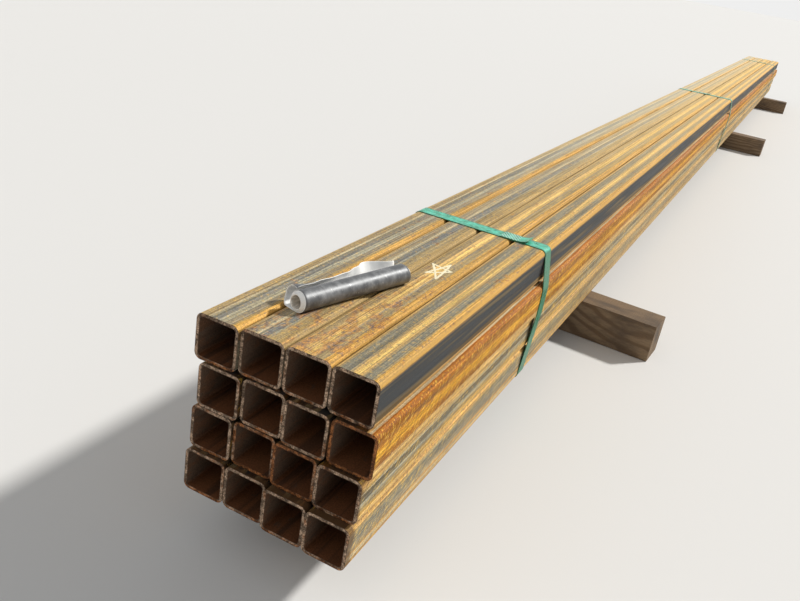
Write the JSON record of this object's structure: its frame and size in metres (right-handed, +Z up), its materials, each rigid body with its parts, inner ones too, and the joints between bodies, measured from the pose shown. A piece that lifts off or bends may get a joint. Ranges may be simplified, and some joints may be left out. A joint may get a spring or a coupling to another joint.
{
  "type": "stack of square tubing",
  "caption": "Strapped stack of long square steel tubes with rust-streaked mill scale, open at both ends, on timber bearers with a rolled sheet lying on top.",
  "frame": {"origin": "centre of the bounding box on the level the bearers stand on", "axes": "+Y along the tubes away from the near end in the picture, +Z up, +X to the right as seen from the near end"},
  "size_m": [0.6142, 7.3372, 0.3754],
  "materials": {
    "mill_steel": "hot mill scale, blue-grey in streaks with golden and orange rust, dull",
    "bearer_timber": "sawn softwood, weathered brown, dry",
    "strap_plastic": "embossed green polyester strap, satin",
    "sheet_plastic": "flexible sheet, dark grey satin outside and white inside"
  },
  "bodies": {
    "root": {"tube_r1_c1": "mill_steel", "tube_r1_c2": "mill_steel", "tube_r1_c3": "mill_steel", "tube_r1_c4": "mill_steel", "tube_r2_c1": "mill_steel", "tube_r2_c2": "mill_steel", "tube_r2_c3": "mill_steel", "tube_r2_c4": "mill_steel", "tube_r3_c1": "mill_steel", "tube_r3_c2": "mill_steel", "tube_r3_c3": "mill_steel", "tube_r3_c4": "mill_steel", "tube_r4_c1": "mill_steel", "tube_r4_c2": "mill_steel", "tube_r4_c3": "mill_steel", "tube_r4_c4": "mill_steel", "bearer_near": "bearer_timber", "bearer_middle": "bearer_timber", "bearer_far": "bearer_timber", "strap_near": "strap_plastic", "strap_middle": "strap_plastic", "strap_far": "strap_plastic", "rolled_sheet": "sheet_plastic"}
  },
  "joints": []
}
